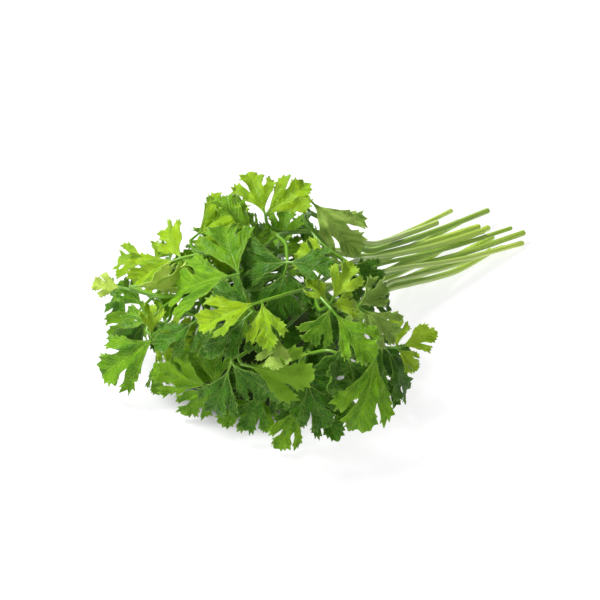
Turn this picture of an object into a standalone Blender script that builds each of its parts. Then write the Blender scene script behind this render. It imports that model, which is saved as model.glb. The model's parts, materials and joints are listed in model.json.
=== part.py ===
"""A cut bunch of flat-leaf parsley, lying on its side.

Seventeen leafy stems come together at a neck and fan out again: the bare stems run along +X to
their cut ends, and the leaves spread along -X in a loose mound. Each leafy stem is one solid: a
main stem, three to five stalks, and lobed and toothed leaflets on each stalk.
The layout is in millimetres, with the neck above X = 0, Y = 0 and the surface at Z = 0. The finished
bunch is moved so that the origin is under the middle of its box.
"""

from typing import NamedTuple

import bmesh
import bpy
import numpy as np
from mathutils import Vector
from mathutils.bvhtree import BVHTree
from mathutils.geometry import delaunay_2d_cdt

MM = 0.001

# Stem and stalk sizes, in millimetres, and how thin and thick a main stem may be as shares of its size
CUT_RADIUS = 2.0
NECK_RADIUS = 1.6
CROWN_RADIUS = 1.2
THICKNESS = (0.78, 1.12)
STALK_RADIUS = 1.0
STALK_END_RADIUS = 0.85
STEM_SIDES = 6
STALK_SIDES = 4

# Where the stems run: the neck, the rings' spacing, how high a stem arches over its leafy half as a
# share of that half's length, and how high it still is half way to its cut end
NECK_X = 8.0
RING_STEP = 24.0
ARCH = 0.06
SAG = 0.42

# How the stems settle: the gap left between two, the extra gap where they run steeply, the height of
# a resting stem's centre as a share of its radius, the steps, and how hard each one pushes and evens
STEM_GAP = 0.8
STEEP_GAP = 0.4
REST = 0.8
SETTLING = 200
EVENING_UNTIL = 140
PUSH = 0.3
EVENING = 0.1

# Stalks: how far one starts inside the stem and ends past its joint, its bends as shares of its
# reach, its lowest centre, and how fast it sways aside while it looks for a clear way
STALK_RINGS = 4
ROOT = 0.8
TIP = 0.5
BEND_OUT = 0.38
BEND_IN = 0.3
STALK_FLOOR = 2.0
SWAY = 0.35

# Leaflets: the blade's thickness, the room kept round it and round a joint, the small fan that joins
# the leaflets of a spray, and the middle leaflet's foot as a share of its length
BLADE = 0.8
CLEARANCE = 0.3
HUB_ROOM = 1.8
HUB = 1.3
BASE_HALF_WIDTH = 0.6
FOOT = 0.13
LATERAL_SCALE = 0.86
WIDTH_RATIO = 0.94

# Half of a leaflet's outline from its base to its tip, as shares of twice its half width and of its
# length: the wedge-shaped base, a side lobe with its teeth, the cut beside it, and the middle lobe.
# Then the share by which leaflets differ, and the points of the middle rib as shares of the length
HALF_OUTLINE = ((0.3, 0.35), (0.475, 0.585), (0.34, 0.745), (0.15, 0.5), (0.262, 0.75), (0.175, 0.85))
OUTLINE_DIFFERENCE = 0.07
RIB = (0.42,)

# Differences between leaflets, in degrees or as shares, and how fast they grow with each attempt
YAW = 5.0
PITCH = (-8.0, 14.0)
ROLL = 16.0
LATERAL_ROLL = 0.25
FOLD = (0.22, 0.22)
CUP = (-0.1, 0.1)
DROOP = (0.55, 0.45)
TWIST = 0.35
WAVE = 0.05
LENGTH_DIFFERENCE = 0.08
LOOSER = 0.035
SHORTER = 0.004
SHORTEST = 0.62
WIDER = 0.002
LOWER = 0.1

# The middle of the mound and its half sizes, which give the way that a leaf's upper side faces
HEART = np.array([-82.0, 8.0, 8.0])
MOUND = np.array([90.0, 88.0, 84.0])

SEED = 7
TRIES = 120


class Spray(NamedTuple):
    """Leaflets on one stalk. Azimuth runs from +X towards +Y, pitch is above the horizon."""

    joint: tuple
    azimuth: float
    pitch: float
    size: float
    roll: float = 0.0
    spread: tuple = (0.0, -73.0, 73.0)


class Sprig(NamedTuple):
    """A leafy stem: its cut end, its place in the neck (Y, Z), and where its stalks part."""

    name: str
    tint: str
    cut: tuple
    neck: tuple
    crown: tuple
    sprays: tuple


SPRIGS = (
    Sprig("sprig_top", "bright", (100, 24, 16), (2, 48), (-58, 6, 83), (
        Spray((-69, 11, 97), 14, 54, 34, 38, (-40, 40)),
        Spray((-86, 2, 90), 89, 52, 27, 14, (0, -62)),
        Spray((-90, -29, 94), -154, -27, 36, 4),
    )),
    Sprig("sprig_arch", "deep", (147, 16, 10), (8, 43), (-32, 14, 82), (
        Spray((-34, 15, 93), -78, -39, 44, 75, (0,)),
        Spray((-52, -34, 80), -56, -16, 20, 38, (0,)),
        Spray((-43, -30, 70), -50, -26, 24, 38, (0, -70)),
        Spray((-48, 31, 47), 30, 14, 27, 1),
        Spray((-40, 2, 57), 26, 41, 26, 30),
    )),
    Sprig("sprig_crest", "bright", (121, 4, 13), (10, 37), (-88, 16, 78), (
        Spray((-103, 35, 84), -10, 39, 36, 47, (0, -62)),
        Spray((-110, -14, 89), 129, -12, 46, -15),
        Spray((-106, 40, 72), 144, -19, 30, -48),
    )),
    Sprig("sprig_left", "bright", (134, 38, 6), (15, 39), (-94, 42, 60), (
        Spray((-110, 60, 62), 127, 12, 24, -54, (0, -98)),
        Spray((-92, 71, 44), 120, -32, 28, -55),
        Spray((-122, 58, 38), 157, -35, 26, -54),
        Spray((-65, 50, 54), 73, 14, 30, 15),
    )),
    Sprig("sprig_far_left", "pale", (128, 25, 4), (7, 31), (-118, 28, 58), (
        Spray((-136, 52, 60), 131, 7, 18, -34, (0,)),
        Spray((-135, 50, 62), -73, -5, 36, 76, (0,)),
        Spray((-145, 19, 50), -35, 12, 20, 39, (0, -62, 66)),
        Spray((-131, 26, 47), 137, 19, 24, -21),
    )),
    Sprig("sprig_front_left", "deep", (137, 7, 4), (1, 25), (-112, -12, 46), (
        Spray((-126, -24, 46), -171, -49, 31, -3, (0, 60)),
        Spray((-107, -25, 12), 173, 1, 26, 34),
        Spray((-128, -2, 64), 157, -22, 24, -18, (0, 70)),
    )),
    Sprig("sprig_front", "bright", (141, -9, 9), (-2, 35), (-100, -34, 58), (
        Spray((-133, -40, 58), -55, -7, 33, 176, (0,)),
        Spray((-115, -48, 76), -152, -57, 22, 176, (0,)),
        Spray((-118, -33, 79), 172, -20, 28, -3),
    )),
    Sprig("sprig_front_right", "deep", (145, -17, 7), (-7, 30), (-92, -46, 48), (
        Spray((-111, -62, 52), -89, -49, 30, 6),
        Spray((-103, -53, 24), -168, -36, 25, 21, (0,)),
        Spray((-91, -69, 58), -72, -41, 25, 6),
        Spray((-100, -47, 38), -93, 22, 30, -4),
    )),
    Sprig("sprig_shoulder", "bright", (112, -7, 15), (-5, 41), (-66, -30, 72), (
        Spray((-95, -65, 86), -87, -34, 27, 29, (0, -74)),
        Spray((-91, -60, 84), 9, 44, 20, -4, (0, -66, 66)),
        Spray((-117, -39, 88), 156, -10, 30, -7, (0, 73)),
        Spray((-55, -38, 52), -131, 32, 30, 6),
    )),
    Sprig("sprig_right", "bright", (139, -21, 3), (-11, 35), (-60, -46, 50), (
        Spray((-75, -79, 60), -154, -45, 40, 26, (0,)),
        Spray((-61, -52, 64), -61, -31, 27, 25),
        Spray((-65, -38, 80), 109, 33, 24, -39, (0,)),
        Spray((-67, -20, 28), -140, -25, 28, 9),
    )),
    Sprig("sprig_low_right", "deep", (125, -15, 3), (-14, 28), (-38, -38, 38), (
        Spray((-54, -65, 42), -78, -39, 33, 31, (0, -66)),
        Spray((-47, -69, 38), -29, 20, 21, -24, (0, -64, 64)),
        Spray((-36, -30, 52), -44, -18, 24, 44),
        Spray((-49, 1, 33), -60, 42, 28, -4),
    )),
    Sprig("sprig_nape", "deep", (111, 27, 4), (13, 27), (-30, 30, 46), (
        Spray((-36, 54, 50), 82, -30, 32),
        Spray((-22, 48, 30), 50, -24, 30),
        Spray((-60, 11, 70), 35, 34, 26, 18),
    )),
    Sprig("sprig_back", "bright", (119, 13, 4), (9, 21), (-64, 50, 46), (
        Spray((-62, 78, 44), 84, -42, 34),
        Spray((-52, 72, 24), 62, -20, 32),
        Spray((-86, 49, 56), 114, -4, 26, -38),
    )),
    Sprig("sprig_back_left", "deep", (104, 15, -4), (4, 19), (-102, 52, 30), (
        Spray((-132, 38, 46), 176, -36, 28, -50, (0, 70)),
        Spray((-120, 75, 40), -177, -46, 20, -69, (0, -66)),
        Spray((-81, 30, 72), 41, 25, 28, 20),
        Spray((-95, 38, 28), 103, 5, 30, -27),
    )),
    Sprig("sprig_low_left", "deep", (112, 1, -3), (-2, 15), (-122, 22, 22), (
        Spray((-138, 27, 40), -142, -51, 46, -45, (-52, 56)),
        Spray((-133, 33, 22), -140, -25, 20, -51, (0,)),
        Spray((-106, 20, 62), 60, 4, 36),
        Spray((-127, -10, 23), 163, 23, 30, -7),
    )),
    Sprig("sprig_low_front", "deep", (129, -3, 4), (-7, 19), (-88, -28, 20), (
        Spray((-95, -47, 20), -89, -20, 26, -15),
        Spray((-79, -54, 22), -102, -28, 24, 18),
        Spray((-113, -36, 30), -157, -27, 24, 4),
    )),
    Sprig("sprig_low_side", "deep", (117, -13, -4), (-12, 21), (-46, -26, 20), (
        Spray((-54, -56, 20), -90, -27, 26, 29),
        Spray((-41, -46, 24), -49, -15, 24, 15),
        Spray((-66, -4, 64), 150, 6, 36),
    )),
)

# Colours of the leaves, as linear red, green and blue
TINTS = {
    "bright": (0.16, 0.42, 0.025, 1.0),
    "deep": (0.055, 0.22, 0.02, 1.0),
    "pale": (0.34, 0.52, 0.09, 1.0),
}
LEAF_ROUGHNESS = 0.5


class Leaflet(NamedTuple):
    """One leaflet in its place. The frame's columns are its side, its heading and its upper face."""

    angle: float
    origin: np.ndarray
    frame: np.ndarray
    length: float
    width: float
    foot: float
    fold: float
    cup: float
    droop: float
    twist: float
    wave: float
    phase: float
    outline_seed: tuple


def unit(vector):
    return vector / np.linalg.norm(vector)


def heading(azimuth, pitch):
    a, p = np.radians(azimuth), np.radians(pitch)
    return np.array([np.cos(a) * np.cos(p), np.sin(a) * np.cos(p), np.sin(p)])


def rotation(axis, degrees):
    """The matrix of a turn about local axis 0, 1 or 2."""
    c, s = np.cos(np.radians(degrees)), np.sin(np.radians(degrees))
    j, k = (axis + 1) % 3, (axis + 2) % 3
    matrix = np.eye(3)
    matrix[j, j], matrix[k, k] = c, c
    matrix[k, j], matrix[j, k] = s, -s
    return matrix


def spray_frame(spray):
    """Side, heading and upper face of a spray: the upper face turns away from the mound's heart."""
    forward = heading(spray.azimuth, spray.pitch)
    outward = (np.array(spray.joint) - HEART) / MOUND**2
    normal = unit(outward - (outward @ forward) * forward)
    frame = np.column_stack([np.cross(forward, normal), forward, normal])
    return frame @ rotation(1, spray.roll)


def smooth_curve(points, count):
    """Points spaced evenly in parameter on a Catmull-Rom curve through the given ones."""
    points = np.asarray(points, float)
    padded = np.vstack([2 * points[0] - points[1], points, 2 * points[-1] - points[-2]])
    found = []
    for t in np.linspace(0, len(points) - 1, count):
        i = min(int(t), len(points) - 2)
        u = t - i
        a, b, c, d = padded[i : i + 4]
        found.append(
            0.5 * (2 * b + (c - a) * u + (2 * a - 5 * b + 4 * c - d) * u**2 + (3 * b - a - 3 * c + d) * u**3)
        )
    return np.array(found)


def stem_radius(x, crown_x, cut_x):
    """A stem thins from its cut end to the neck, and again to its crown."""
    return np.interp(x, [crown_x, NECK_X, cut_x], [CROWN_RADIUS, NECK_RADIUS, CUT_RADIUS])


def stem_rings(sprig):
    """Ring centres of a main stem from its crown to its cut end, with one ring in the neck."""
    (cx, cy, cz), (ny, nz), (ex, ey, ez) = sprig.crown, sprig.neck, sprig.cut
    arch = ((cx + NECK_X) / 2, (cy + ny) / 2, (cz + nz) / 2 + ARCH * (NECK_X - cx))
    half_way = ((ex + NECK_X) / 2, (ey + ny) / 2, ez + SAG * (nz - ez))
    path = smooth_curve([(cx, cy, cz), arch, (NECK_X, ny, nz), half_way, (ex, ey, ez)], 60)
    first = np.ceil((cx - NECK_X) / RING_STEP + 0.4)
    stations = NECK_X + RING_STEP * np.arange(first, (ex - NECK_X) / RING_STEP - 0.4)
    xs = np.concatenate([[cx], stations, [ex]])
    ys, zs = (np.interp(xs, path[:, 0], path[:, k]) for k in (1, 2))
    return np.column_stack([xs, ys, zs])


def settle_stems():
    """Main stems as ring centres, pushed apart in each cross-section until none touch."""
    starts = [stem_rings(sprig) for sprig in SPRIGS]
    draw = np.random.default_rng(SEED)
    radii = [stem_radius(c[:, 0], c[0, 0], c[-1, 0]) * draw.uniform(*THICKNESS) for c in starts]
    for start, radius in zip(starts, radii):
        start[:, 2] = np.maximum(start[:, 2], REST * radius)
    curves = [c.copy() for c in starts]
    for step in range(SETTLING):
        for i in range(len(curves)):
            for j in range(i + 1, len(curves)):
                push_first = push_off(curves[i], radii[i], curves[j], radii[j])
                push_second = push_off(curves[j], radii[j], curves[i], radii[i])
                curves[i][:, 1:] += push_first
                curves[j][:, 1:] += push_second
        for start, curve, radius in zip(starts, curves, radii):
            shift = curve - start
            if step < EVENING_UNTIL:
                curve[1:-1] += EVENING * (shift[:-2] - 2 * shift[1:-1] + shift[2:])
            curve[:, 2] = np.maximum(curve[:, 2], REST * radius)
    return curves, radii


def push_off(curve, radii, other, other_radii):
    """The Y and Z steps that move a stem's rings away from another stem beside them."""
    xs = curve[:, 0]
    beside = (xs > other[0, 0] - 2) & (xs < other[-1, 0] + 2)
    away = curve[:, 1:] - np.column_stack([np.interp(xs, other[:, 0], other[:, k]) for k in (1, 2)])
    distance = np.maximum(np.linalg.norm(away, axis=1), 1e-6)
    slope = 1.0 + STEEP_GAP * (steepness(curve) ** 2 + np.interp(xs, other[:, 0], steepness(other)) ** 2)
    wanted = (radii + np.interp(xs, other[:, 0], other_radii) + STEM_GAP) * slope
    step = np.where(beside & (distance < wanted), PUSH * (wanted - distance), 0.0)
    return (step / distance)[:, None] * away


def steepness(curve):
    """How far a stem runs across its cross-sections, from 0 for a stem along X."""
    run = np.gradient(curve, axis=0)
    return np.linalg.norm(run[:, 1:], axis=1) / np.maximum(np.abs(run[:, 0]), 1e-6)


def stalk_path(curve, spray, sway):
    """From the crown, along the stem's own way at first, to the spray's joint along its heading."""
    crown, onward = curve[0], unit(curve[0] - curve[1])
    joint, forward = np.array(spray.joint, float), heading(spray.azimuth, spray.pitch)
    reach = np.linalg.norm(joint - crown)
    p1 = crown + onward * BEND_OUT * reach + sway
    p2 = joint - forward * BEND_IN * reach + sway
    t = np.linspace(0, 1, STALK_RINGS)[:, None]
    path = (1 - t) ** 3 * crown + 3 * (1 - t) ** 2 * t * p1 + 3 * (1 - t) * t**2 * p2 + t**3 * joint
    path[0] -= ROOT * unit(p1 - crown)
    path[-1] += TIP * forward
    return path


def tube(path, radii, sides):
    """Points and faces of a closed tube along a path, with one flat side underneath.

    Where the tube would sink into the surface, that side is pressed level with it.
    """
    run = np.gradient(path, axis=0)
    points = []
    for centre, along, radius in zip(path, run, np.broadcast_to(radii, len(path))):
        along = unit(along)
        across = np.cross(along, (0.0, 0.0, 1.0))
        across = unit(across) if np.linalg.norm(across) > 0.05 else np.array([1.0, 0.0, 0.0])
        rise = np.cross(across, along)
        for k in range(sides):
            turn = 2 * np.pi * (k + 0.5) / sides - np.pi / 2
            points.append(centre + radius * (np.cos(turn) * across + np.sin(turn) * rise))
    faces = []
    for i in range(len(path) - 1):
        for k in range(sides):
            a, b = i * sides + k, i * sides + (k + 1) % sides
            faces.append((a, b, b + sides, a + sides))
    last = (len(path) - 1) * sides
    faces.append(tuple(range(sides))[::-1])
    faces.append(tuple(range(last, last + sides)))
    points = np.array(points)
    points[:, 2] = np.maximum(points[:, 2], 0.0)
    return facing_out(points, faces)


def facing_out(points, faces):
    """Turns all faces of a closed shape round if they enclose a negative volume."""
    volume = 0.0
    for face in faces:
        for i in range(1, len(face) - 1):
            volume += np.linalg.det(points[[face[0], face[i], face[i + 1]]])
    return (points, faces) if volume > 0 else (points, [face[::-1] for face in faces])


def outline(leaflet):
    """A leaflet's flat outline in millimetres, counter-clockwise from the right end of its base."""
    draw = np.random.default_rng(leaflet.outline_seed)
    foot = [(BASE_HALF_WIDTH, -leaflet.foot), (BASE_HALF_WIDTH, 0.0)]
    halves = []
    for side in (1, -1):
        change = OUTLINE_DIFFERENCE * draw.uniform(-1, 1, (len(HALF_OUTLINE), 2))
        half = np.array(HALF_OUTLINE) * (1 + change) * (2 * leaflet.width, leaflet.length)
        halves.append(np.vstack([foot if leaflet.foot else foot[1:], half]) * (side, 1))
    return np.vstack([halves[0], [(0.0, leaflet.length)], halves[1][::-1]])


def flat_mesh(rim, inner, ribs):
    """Points and triangles that fill a flat outline, with inner points joined by ribs."""
    count = len(rim)
    points = [Vector(p) for p in np.vstack([rim, inner])]
    edges = [(i, (i + 1) % count) for i in range(count)] + ribs
    made = delaunay_2d_cdt(points, edges, [], 1, 1e-7)
    flat = np.array([tuple(p) for p in made[0]])
    triangles = []
    for a, b, c in made[2]:
        (ax, ay), (bx, by) = flat[b] - flat[a], flat[c] - flat[a]
        triangles.append((a, b, c) if ax * by - ay * bx > 0 else (a, c, b))
    return flat, np.array(triangles)


def bent(flat, leaflet):
    """Flat points of a leaflet, folded, waved, twisted and drooped, then put in its place."""
    x, y = flat[:, 0], flat[:, 1]
    along, across = y / leaflet.length, x / leaflet.width
    soft = np.sqrt(across**2 + 0.01) - 0.1
    z = leaflet.width * (leaflet.fold * soft + leaflet.cup * across**2)
    z += leaflet.wave * np.sin(5.0 * along + leaflet.phase + 1.2 * np.sign(x)) * across**2
    turn = leaflet.twist * np.clip(along, 0, None)
    x, z = x * np.cos(turn) - z * np.sin(turn), x * np.sin(turn) + z * np.cos(turn)
    angle = leaflet.droop * np.clip(along, 0, None)
    radius = leaflet.length / leaflet.droop
    forward = np.where(y > 0, radius * np.sin(angle), y) + z * np.sin(angle)
    upward = z * np.cos(angle) - np.where(y > 0, radius * (1 - np.cos(angle)), 0.0)
    return leaflet.origin + np.column_stack([x, forward, upward]) @ leaflet.frame.T


def thickened(middle, triangles, thickness):
    """A closed blade of that thickness about a sheet, split alike on both faces."""
    corners = middle[triangles]
    facing = np.cross(corners[:, 1] - corners[:, 0], corners[:, 2] - corners[:, 0])
    normals = np.zeros_like(middle)
    for k in range(3):
        np.add.at(normals, triangles[:, k], facing)
    normals /= np.maximum(np.linalg.norm(normals, axis=1, keepdims=True), 1e-9)
    points = np.vstack([middle + normals * thickness / 2, middle - normals * thickness / 2])
    count = len(middle)
    faces = [tuple(t) for t in triangles] + [tuple(t[::-1] + count) for t in triangles]
    sides = {(a, b) for t in triangles for a, b in zip(t, np.roll(t, -1))}
    for a, b in sorted(sides):
        if (b, a) not in sides:
            faces.append((b, a, a + count))
            faces.append((b, a + count, b + count))
    return points, faces


def leaflet_sheet(leaflet):
    """A leaflet's points in place and its triangles. The rim comes first, from base to base."""
    rim = outline(leaflet)
    inner = np.array([(0.0, share * leaflet.length) for share in RIB])
    count = len(rim)
    chain = [*range(count, count + len(RIB)), count // 2]
    flat, triangles = flat_mesh(rim, inner, list(zip(chain[:-1], chain[1:])))
    return bent(flat, leaflet), triangles, count


def spray_sheet(spray, leaflets):
    """The leaflets of a spray in one sheet, joined by a small fan of triangles round the stalk's end."""
    points = [np.array(spray.joint) - HUB * heading(spray.azimuth, spray.pitch)]
    triangles, ring = [], []
    for leaflet in sorted(leaflets, key=lambda each: each.angle):
        own_points, own_triangles, rim_count = leaflet_sheet(leaflet)
        first = len(points)
        points.extend(own_points)
        triangles.extend(own_triangles + first)
        ring += [first, first + rim_count - 1]
    triangles += [np.array((0, a, b)) for a, b in zip(ring[:-1], ring[1:])]
    return np.array(points), np.array(triangles)


def tree_of(points, faces):
    return BVHTree.FromPolygons([Vector(p) for p in points], [tuple(int(i) for i in f) for f in faces])


class Obstacle(NamedTuple):
    """Something already in its place, with its box and the sprig and spray that it belongs to."""

    tree: BVHTree
    low: np.ndarray
    high: np.ndarray
    owner: tuple


def obstacle(points, faces, owner):
    return Obstacle(tree_of(points, faces), points.min(axis=0), points.max(axis=0), owner)


def is_clear(points, faces, placed, reach):
    """True if a shape crosses nothing placed. reach(owner) gives the faces that count against it."""
    low, high, trees = points.min(axis=0), points.max(axis=0), {}
    for other in placed:
        if (low > other.high).any() or (high < other.low).any():
            continue
        kind = reach(other.owner)
        if kind not in faces:
            continue
        if kind not in trees:
            trees[kind] = tree_of(points, faces[kind])
        if trees[kind].overlap(other.tree):
            return False
    return True


def laying_order():
    """Sprig and spray numbers: every sprig's first spray, then every second one, and so on."""
    places = [(j, i) for i, sprig in enumerate(SPRIGS) for j in range(len(sprig.sprays))]
    return [(i, j) for j, i in sorted(places)]


def lay_stalks(curves, placed):
    """Each spray's stalk, swayed aside by seeded draws until it clears the other sprigs' stems.

    Room is kept round the joint too, where the leaflets meet.
    """
    stalks = {}
    for i, j in laying_order():
        spray = SPRIGS[i].sprays[j]
        draw = np.random.default_rng((SEED, i, j))
        for attempt in range(TRIES):
            path = stalk_path(curves[i], spray, SWAY * attempt * draw.normal(size=3))
            points, faces = tube(path, STALK_RADIUS + CLEARANCE, STALK_SIDES)
            clear = is_clear(points, {"whole": faces}, placed, lambda o: "whole" if o[0] != i else "")
            if clear and path[:, 2].min() > STALK_FLOOR:
                break
        stalks[i, j] = path
        points, faces = tube(path, STALK_RADIUS, STALK_SIDES)
        placed.append(obstacle(points, faces, (i, j)))
        half = HUB_ROOM * heading(spray.azimuth, spray.pitch)
        points, faces = tube([spray.joint - half, spray.joint + half], HUB_ROOM, STALK_SIDES)
        placed.append(obstacle(points, faces, (i, j)))
    return stalks


def drawn_leaflet(spray, key, angle, attempt, draw):
    """A leaflet of a spray with its seeded differences, which grow with each attempt."""
    loose = 1.0 + LOOSER * attempt
    r = draw.uniform(-1, 1, 9)
    length = spray.size * (1 + LENGTH_DIFFERENCE * r[0]) * max(SHORTEST, 1 - SHORTER * attempt)
    length *= LATERAL_SCALE if angle else 1.0
    yaw = angle * (1 + WIDER * attempt) + YAW * loose * r[1]
    pitch = PITCH[0] + PITCH[1] * loose * r[2] + LOWER * attempt
    roll = ROLL * loose * r[3] + LATERAL_ROLL * angle
    frame = spray_frame(spray) @ rotation(2, yaw) @ rotation(0, pitch) @ rotation(1, roll)
    foot = 0.0 if angle else FOOT * length
    return Leaflet(
        angle=angle,
        origin=np.array(spray.joint, float) + (HUB + foot) * frame[:, 1],
        frame=frame,
        length=length,
        width=length * WIDTH_RATIO / 2,
        foot=foot,
        fold=FOLD[0] + FOLD[1] * r[4],
        cup=CUP[0] + CUP[1] * r[5],
        droop=DROOP[0] + DROOP[1] * r[6],
        twist=TWIST * r[7],
        wave=WAVE * length,
        phase=np.pi * r[8],
        outline_seed=key,
    )


def lay_leaflets(placed):
    """Leaflets of every spray, each drawn again until it clears the rest and the surface below."""
    leaflets = {}
    for i, j in laying_order():
        spray = SPRIGS[i].sprays[j]
        for k, angle in enumerate(spray.spread):
            draw = np.random.default_rng((SEED, i, j, k))
            for attempt in range(TRIES):
                leaflet = drawn_leaflet(spray, (SEED, i, j, k), angle, attempt, draw)
                if fits(leaflet, i, j, attempt, placed):
                    leaflets[i, j, k] = leaflet
                    sheet, triangles, _ = leaflet_sheet(leaflet)
                    points, faces = thickened(sheet, triangles, BLADE)
                    placed.append(obstacle(points, faces, (i, j)))
                    break
    return leaflets


def fits(leaflet, i, j, attempt, placed):
    """True if a leaflet clears the surface, the other sprigs and, away from its base, its own sprig."""
    sheet, triangles, rim_count = leaflet_sheet(leaflet)
    points, faces = thickened(sheet, triangles, BLADE + 2 * CLEARANCE)
    if points[:, 2].min() < 0:
        return False
    base = {0, rim_count - 1, len(sheet), len(sheet) + rim_count - 1}
    free = [face for face in faces if not base & {int(p) for p in face}]

    def reach(owner):
        if owner[0] != i:
            return "whole"
        return "free" if owner[1] == j or attempt < TRIES // 2 else "none"

    return is_clear(points, {"whole": faces, "free": free}, placed, reach)


def lay_bunch():
    """The whole layout in millimetres: stems, stalks and leaflets, with none crossing another sprig."""
    curves, radii = settle_stems()
    placed = []
    for i, (curve, radius) in enumerate(zip(curves, radii)):
        points, faces = tube(curve, radius, STEM_SIDES)
        placed.append(obstacle(points, faces, (i, -1)))
    stalks = lay_stalks(curves, placed)
    leaflets = lay_leaflets(placed)
    low = np.min([p.low for p in placed], axis=0)
    high = np.max([p.high for p in placed], axis=0)
    middle = np.array([(low[0] + high[0]) / 2, (low[1] + high[1]) / 2, low[2]])
    return curves, radii, stalks, leaflets, middle


def mesh_object(name, points, faces, middle, collection):
    mesh = bpy.data.meshes.new(name)
    mesh.from_pydata(((points - middle) * MM).tolist(), [], [[int(i) for i in f] for f in faces])
    made = bpy.data.objects.new(name, mesh)
    collection.objects.link(made)
    return made


def leaf_material(tint):
    material = bpy.data.materials.new(f"leaf_{tint}")
    material.use_nodes = True
    shader = material.node_tree.nodes["Principled BSDF"]
    shader.inputs["Base Color"].default_value = TINTS[tint]
    shader.inputs["Roughness"].default_value = LEAF_ROUGHNESS
    return material


def fused(main, repeats):
    """Joins the repeats' collection into the main object, and removes it."""
    union = main.modifiers.new("union", "BOOLEAN")
    union.operation = "UNION"
    union.operand_type = "COLLECTION"
    union.collection = repeats
    union.solver = "MANIFOLD"
    bpy.context.view_layer.update()
    evaluated = main.evaluated_get(bpy.context.evaluated_depsgraph_get())
    joined = bpy.data.meshes.new_from_object(evaluated)
    main.modifiers.clear()
    main.data = joined
    for piece in list(repeats.objects):
        bpy.data.objects.remove(piece)
    bpy.data.collections.remove(repeats)
    drop_scraps(main.data)


def drop_scraps(mesh):
    """Keeps only the largest of a mesh's separate bodies."""
    shape = bmesh.new()
    shape.from_mesh(mesh)
    left, bodies = set(shape.verts), []
    while left:
        body, edge = set(), [left.pop()]
        while edge:
            vertex = edge.pop()
            body.add(vertex)
            near = {link.other_vert(vertex) for link in vertex.link_edges} & left
            left -= near
            edge.extend(near)
        bodies.append(body)
    scraps = [vertex for body in sorted(bodies, key=len)[:-1] for vertex in body]
    bmesh.ops.delete(shape, geom=scraps, context="VERTS")
    shape.to_mesh(mesh)
    shape.free()


def build_sprig(i, layout, materials):
    """One leafy stem as a single solid."""
    curves, radii, stalks, leaflets, middle = layout
    sprig = SPRIGS[i]
    scene = bpy.context.scene.collection
    points, faces = tube(curves[i], radii[i], STEM_SIDES)
    main = mesh_object(sprig.name, points, faces, middle, scene)
    repeats = bpy.data.collections.new(f"{sprig.name}_repeats")
    scene.children.link(repeats)
    taper = np.linspace(STALK_RADIUS, STALK_END_RADIUS, STALK_RINGS)
    for j in range(len(sprig.sprays)):
        points, faces = tube(stalks[i, j], taper, STALK_SIDES)
        mesh_object(f"{sprig.name}_stalk", points, faces, middle, repeats)
        own = [leaflet for key, leaflet in leaflets.items() if key[:2] == (i, j)]
        points, faces = thickened(*spray_sheet(sprig.sprays[j], own), BLADE)
        mesh_object(f"{sprig.name}_spray", points, faces, middle, repeats)
    fused(main, repeats)
    main.data.materials.clear()
    main.data.materials.append(materials[sprig.tint])
    main.data.shade_smooth()
    main.data.set_sharp_from_angle(angle=0.6)


def main():
    for old in list(bpy.data.objects):
        bpy.data.objects.remove(old)
    layout = lay_bunch()
    materials = {tint: leaf_material(tint) for tint in TINTS}
    for i in range(len(SPRIGS)):
        build_sprig(i, layout, materials)


main()
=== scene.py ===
"""The parsley bunch dressed for its picture: toothed and veined leaves, grooved stems, light, camera.

The layout repeats that of the part's source: the same leafy stems, seeds and draws in millimetres,
with the stems along X and the surface at Z = 0. Each leafy stem is one finer piece that stands for
its CAD node, with every leaflet where the node has it. A few tips are bent off a neighbour.
"""

import json
from typing import NamedTuple

import bpy
import numpy as np
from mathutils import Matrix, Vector
from mathutils.geometry import delaunay_2d_cdt

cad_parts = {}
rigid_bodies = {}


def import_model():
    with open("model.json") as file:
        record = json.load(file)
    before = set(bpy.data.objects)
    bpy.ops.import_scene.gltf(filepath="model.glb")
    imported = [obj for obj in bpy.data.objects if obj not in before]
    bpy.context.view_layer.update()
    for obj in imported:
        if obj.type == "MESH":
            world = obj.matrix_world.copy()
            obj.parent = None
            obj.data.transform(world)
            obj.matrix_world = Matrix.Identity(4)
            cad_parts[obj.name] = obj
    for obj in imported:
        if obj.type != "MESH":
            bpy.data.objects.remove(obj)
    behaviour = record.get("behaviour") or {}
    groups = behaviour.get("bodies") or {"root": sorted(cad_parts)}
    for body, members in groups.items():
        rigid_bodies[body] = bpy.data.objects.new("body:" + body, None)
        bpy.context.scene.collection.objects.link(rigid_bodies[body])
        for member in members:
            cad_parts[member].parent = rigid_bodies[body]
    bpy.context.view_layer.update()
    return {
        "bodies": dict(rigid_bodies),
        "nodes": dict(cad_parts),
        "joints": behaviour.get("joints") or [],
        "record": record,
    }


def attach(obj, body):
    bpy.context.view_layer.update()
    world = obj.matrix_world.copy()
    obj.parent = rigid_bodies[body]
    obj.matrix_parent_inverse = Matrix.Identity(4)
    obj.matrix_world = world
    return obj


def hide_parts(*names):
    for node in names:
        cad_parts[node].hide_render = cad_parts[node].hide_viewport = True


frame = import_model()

MM = 0.001

# The middle of the laid out bunch, which the part's source moves to the origin
MIDDLE = np.array([-6.77419, 1.72337, 0.0])

# Stem and stalk sizes, in millimetres, and how thin and thick a main stem may be as shares of its size
CUT_RADIUS = 2.0
NECK_RADIUS = 1.6
CROWN_RADIUS = 1.2
THICKNESS = (0.78, 1.12)
STALK_RADIUS = 1.0
STALK_END_RADIUS = 0.85

# Where the stems run: the neck, the rings' spacing, how high a stem arches over its leafy half as a
# share of that half's length, how high it still is half way to its cut end, the points of its smooth
# way, and the share of the spacing that its ends keep free of other rings
NECK_X = 8.0
RING_STEP = 24.0
ARCH = 0.06
SAG = 0.42
WAY_POINTS = 60
END_ROOM = 0.4

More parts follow.
